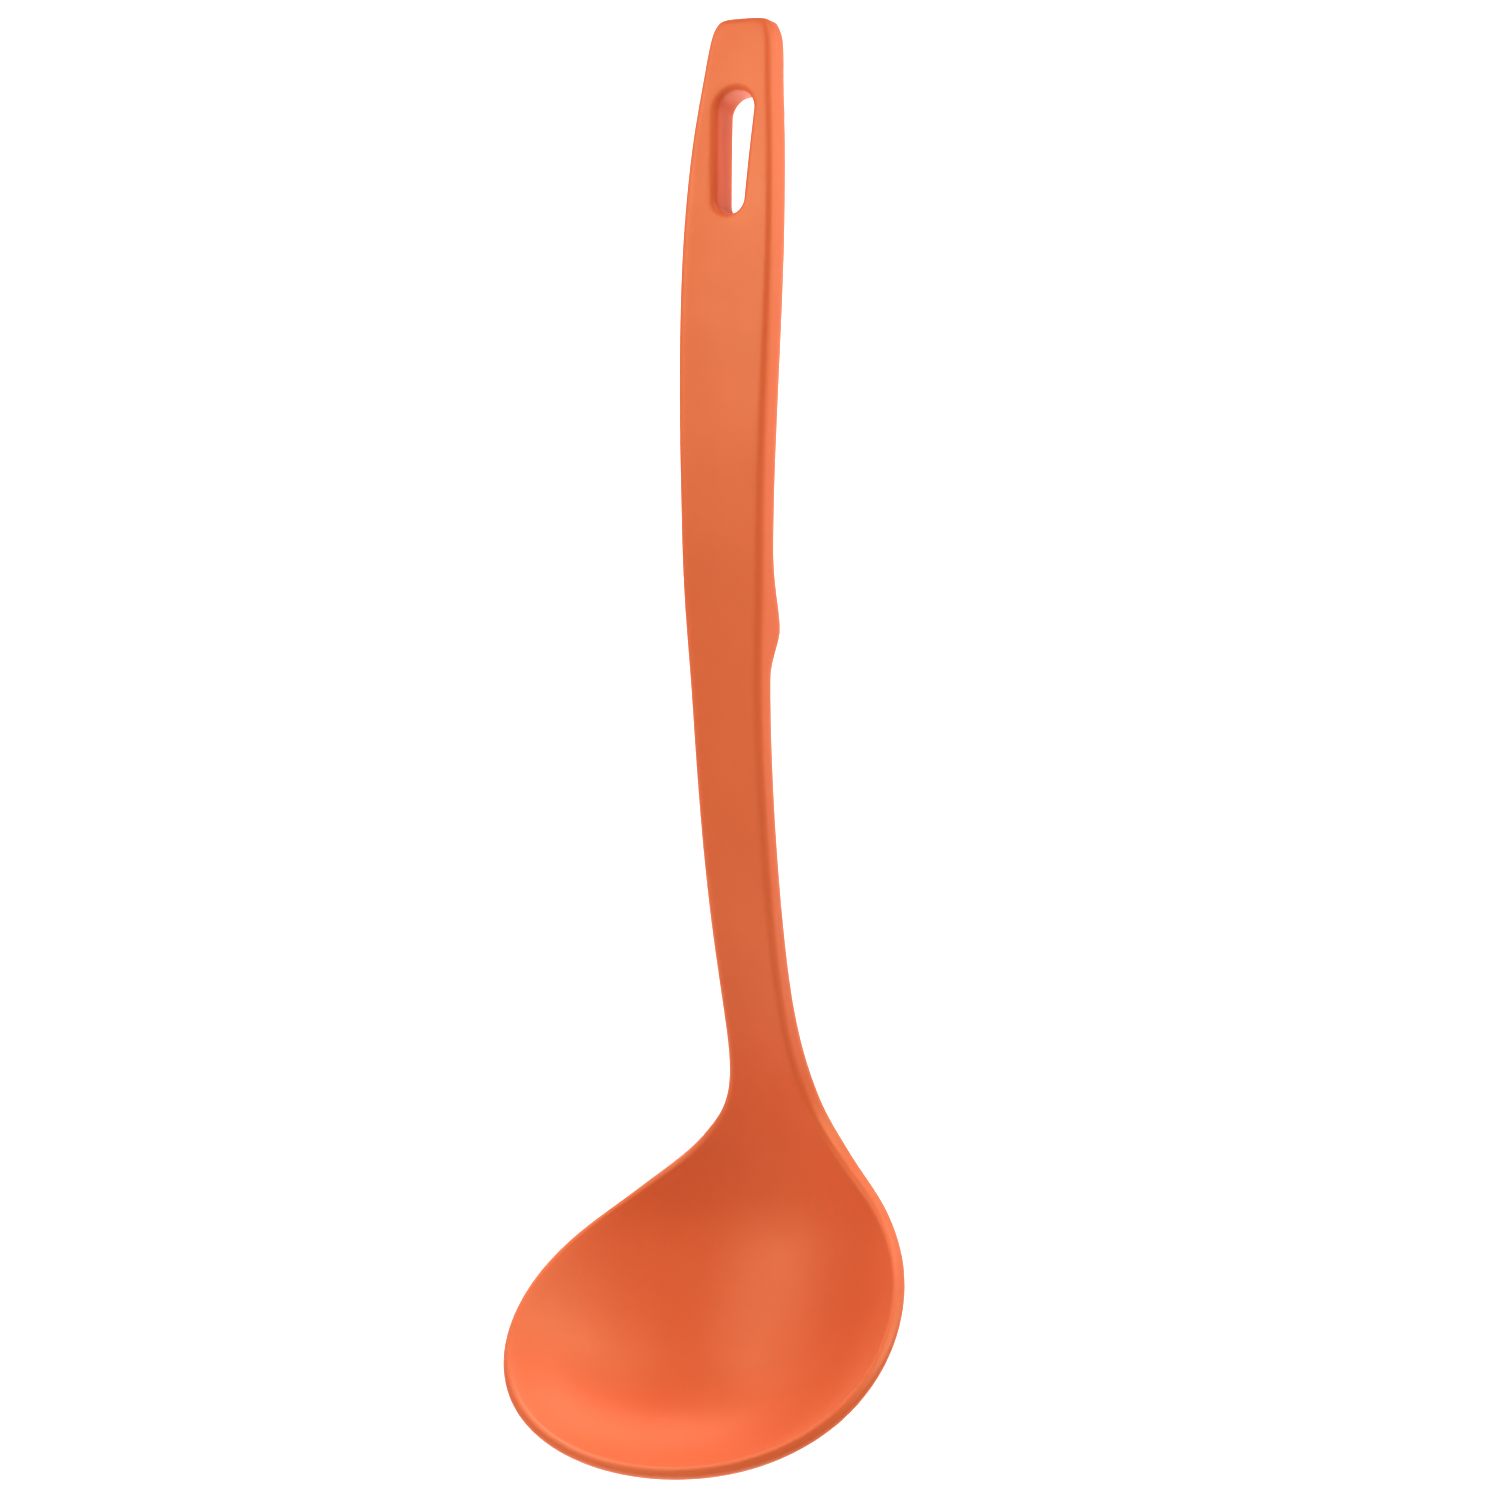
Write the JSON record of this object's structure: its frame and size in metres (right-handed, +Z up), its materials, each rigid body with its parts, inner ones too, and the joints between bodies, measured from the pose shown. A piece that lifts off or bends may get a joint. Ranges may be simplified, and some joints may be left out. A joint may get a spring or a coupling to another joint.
{
  "type": "soup ladle",
  "caption": "Long one-piece kitchen ladle with an egg-shaped bowl, a hang slot in the handle's top and a pan-rim rest on its back.",
  "frame": {"origin": "centre of the hang slot's upper round end, midway through the handle, where a peg carries the hanging ladle", "axes": "+Z up along the handle as the ladle hangs, the bowl opens towards -Y and upwards, X across the ladle with the middle plane at X = 0"},
  "size_m": [0.0858, 0.0653, 0.2913],
  "materials": {
    "silicone_orange": "matt moulded silicone with a soft sheen",
    "core_nylon": "natural glass-filled nylon"
  },
  "bodies": {
    "root": {"silicone_skin": "silicone_orange", "core": "core_nylon"}
  },
  "joints": []
}
